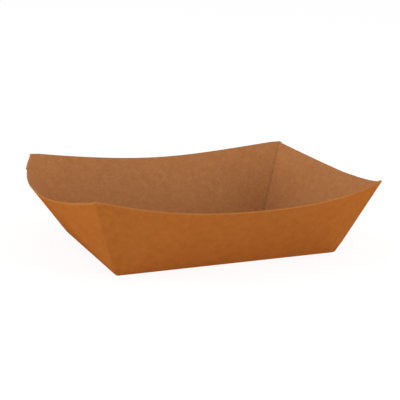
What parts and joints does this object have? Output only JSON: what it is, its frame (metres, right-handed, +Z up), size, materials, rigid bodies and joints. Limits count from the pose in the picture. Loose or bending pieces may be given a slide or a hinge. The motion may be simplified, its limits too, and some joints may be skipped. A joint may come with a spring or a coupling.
{
  "type": "paper food tray",
  "caption": "Rectangular kraft board food tray folded from one sheet, with flared walls, a rim that dips between raised corners and folded corner webs glued to its end walls.",
  "frame": {"origin": "middle of the underside of the flat floor", "axes": "+X along the tray's length, +Y across it, +Z up out of the open side"},
  "size_m": [0.2142, 0.1486, 0.0497],
  "materials": {
    "kraft_board": "brown kraft board, smooth outside and fibrous inside"
  },
  "bodies": {
    "root": {"tray": "kraft_board"}
  },
  "joints": []
}
